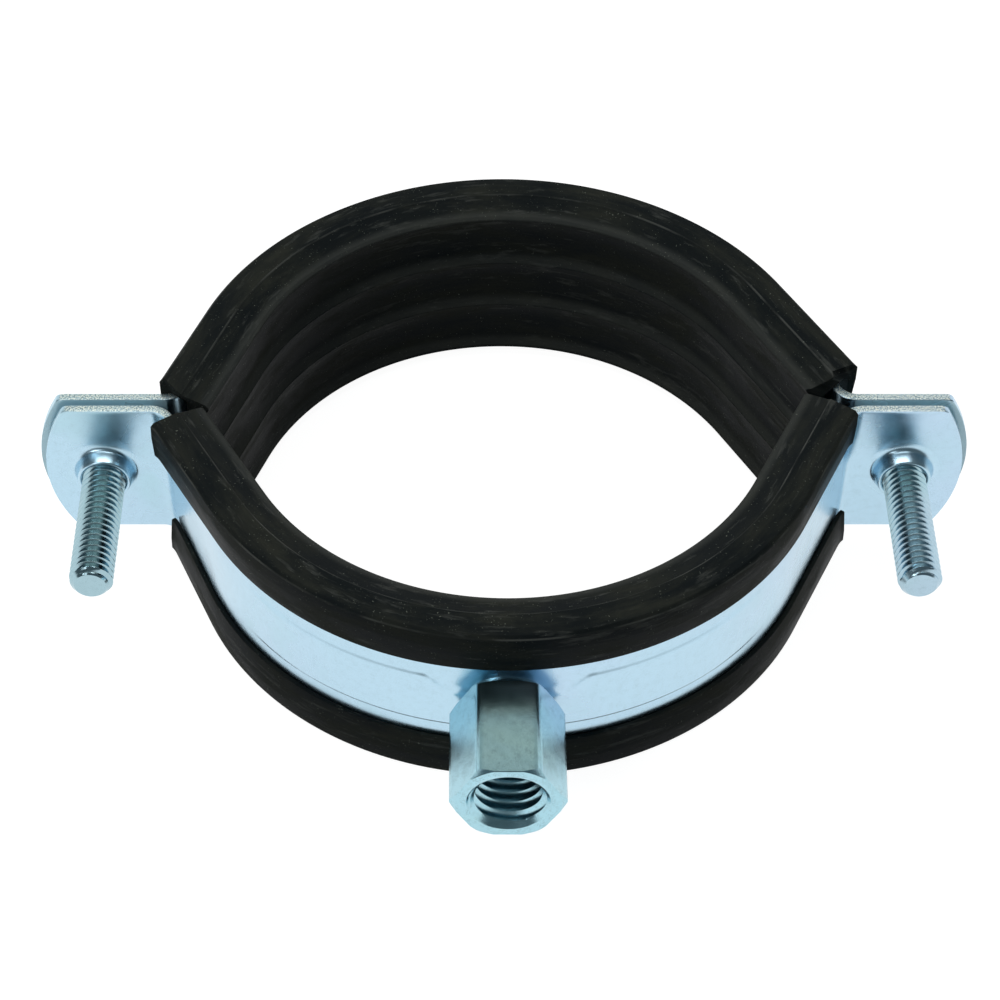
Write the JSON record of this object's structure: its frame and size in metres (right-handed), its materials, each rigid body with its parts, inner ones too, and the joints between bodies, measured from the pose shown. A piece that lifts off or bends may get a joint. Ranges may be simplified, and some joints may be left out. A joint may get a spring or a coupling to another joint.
{
  "type": "rubber lined pipe clamp",
  "caption": "Split steel pipe clamp with rubber lining, drawn together by screws through its ears, with a threaded hexagon boss to hang it from a rod.",
  "frame": {"origin": "centre of the pipe seat, halfway along the strip's width", "axes": "+Z along the pipe and up from the surface it lies on, -Y out of the mouth of the boss, X from screw to screw"},
  "size_m": [0.1284, 0.1034, 0.0282],
  "materials": {
    "zinc_strip": "bright zinc plate with a faint blue and green tint",
    "zinc_boss": "satin zinc plate on turned bar, speckled",
    "zinc_screw": "bright zinc plate",
    "lining_rubber": "matt moulded rubber with dusty smears"
  },
  "bodies": {
    "front_half": {"front_band": "zinc_strip", "hex_boss": "zinc_boss", "front_lining": "lining_rubber"},
    "rear_half": {"rear_band": "zinc_strip", "rear_lining": "lining_rubber"},
    "left_screw": {"left_screw": "zinc_screw"},
    "right_screw": {"right_screw": "zinc_screw"}
  },
  "joints": [
    {"name": "clamp_opening", "type": "slide", "parent": "front_half", "child": "rear_half", "axis": [0, 1, 0], "range_m": [-0.0005, 0.02]},
    {"name": "left_screw_turn", "type": "hinge", "parent": "rear_half", "child": "left_screw", "pos_m": [-0.0552, 0, 0], "axis": [0, 1, 0], "range_deg": [-180, 7200]},
    {"name": "right_screw_turn", "type": "hinge", "parent": "rear_half", "child": "right_screw", "pos_m": [0.0552, 0, 0], "axis": [0, 1, 0], "range_deg": [-180, 7200]}
  ],
  "couplings": [
    {"joint": "left_screw_turn", "follows": "clamp_opening", "rad_per_m": 6283.2},
    {"joint": "right_screw_turn", "follows": "clamp_opening", "rad_per_m": 6283.2}
  ]
}
